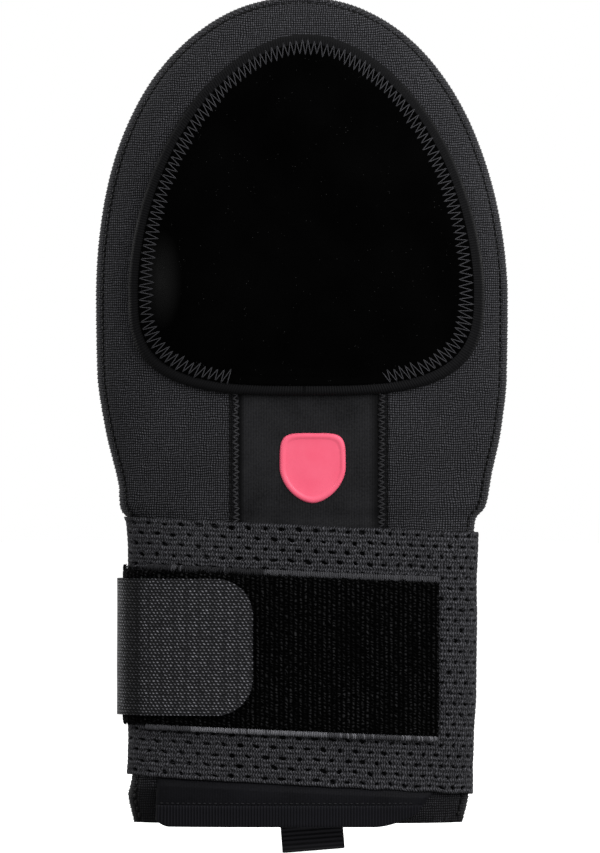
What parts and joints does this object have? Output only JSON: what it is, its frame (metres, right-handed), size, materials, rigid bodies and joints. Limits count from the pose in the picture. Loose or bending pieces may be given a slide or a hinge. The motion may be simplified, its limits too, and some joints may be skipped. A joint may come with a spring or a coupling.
{
  "type": "sliding mitt",
  "caption": "Padded, paddle-shaped hand and wrist guard for sliding into a base: stiff plates inside a knit cover, a soft palm pad and a wide elastic wrist strap with a hook-and-loop tab.",
  "frame": {"origin": "centre of the wrist opening, on the seam plane between the palm side and the back, at the level of the hem of the cuff's tongue", "axes": "+Z along the hand towards the fingertips, +X to the right as seen from the palm side, which faces -Y; +Y towards the back"},
  "size_m": [0.1432, 0.0555, 0.3007],
  "materials": {
    "knit": "matte charcoal knit with a fine square grain",
    "lycra": "smooth matte stretch fabric",
    "velour": "near-black short pile",
    "loop_pile": "black loop pile with fine columns",
    "binding": "smooth folded neoprene and elastic edging",
    "piping": "rolled and overlocked edge",
    "grey_thread": "grey sewing thread",
    "black_thread": "black sewing thread",
    "elastic": "ribbed elastic with staggered rows of small holes",
    "hook_tape": "woven back of hook tape",
    "hooks": "field of small nylon hooks",
    "webbing": "ribbed grosgrain",
    "lining": "soft brushed lining",
    "foam": "closed-cell foam",
    "plate": "moulded polyethylene sheet",
    "pink_rubber": "satin moulded rubber"
  },
  "bodies": {
    "mitt": {"front_cover": "knit", "back_cover": "knit", "gusset_panel": "lycra", "gusset_stitching": "grey_thread", "seam_piping": "piping", "seam_stitching": "black_thread", "front_foam": "foam", "back_foam": "foam", "front_plate": "plate", "back_plate": "plate", "front_lining": "lining", "back_lining": "lining", "tip_bumper": "foam", "palm_pad_base": "lycra", "palm_pad_foam": "foam", "palm_pad_cover": "velour", "palm_pad_binding": "binding", "palm_pad_stitching": "grey_thread", "badge": "pink_rubber", "wrist_strap": "elastic", "loop_patch": "loop_pile", "loop_patch_stitching": "grey_thread", "strap_anchor_stitching": "grey_thread", "pull_loop_bartack": "black_thread"},
    "strap_flap": {"strap_flap": "elastic", "hook_tab_root": "hook_tape", "hook_tab_stitching": "black_thread"},
    "hook_tab": {"hook_tab": "hook_tape", "hook_field": "hooks"},
    "cuff_tongue": {"cuff_tongue": "lycra", "tongue_edging": "binding", "tongue_stitching": "grey_thread"},
    "pull_loop": {"pull_loop": "webbing"}
  },
  "joints": [
    {"name": "strap_flap_swing", "type": "hinge", "parent": "mitt", "child": "strap_flap", "pos_m": [-0.00375, 0.0203, 0.0612], "axis": [0, 0, -1], "range_deg": [0, 40]},
    {"name": "tab_peel", "type": "hinge", "parent": "strap_flap", "child": "hook_tab", "pos_m": [-0.05, 0.0156, 0.0636], "axis": [0, 0, -1], "range_deg": [0, 160]},
    {"name": "cuff_tongue_flex", "type": "hinge", "parent": "mitt", "child": "cuff_tongue", "pos_m": [0, -0.0212, 0.0185], "axis": [-1, 0, 0], "range_deg": [0, 25], "stiffness_Nm_per_rad": 0.02},
    {"name": "pull_loop_swing", "type": "hinge", "parent": "mitt", "child": "pull_loop", "pos_m": [0.003, 0.021, 0.011], "axis": [0.9968, 0, 0.0802], "range_deg": [0, 100]}
  ],
  "couplings": [
    {"joint": "strap_flap_swing", "follows": "tab_peel", "ratio": 0.25}
  ]
}
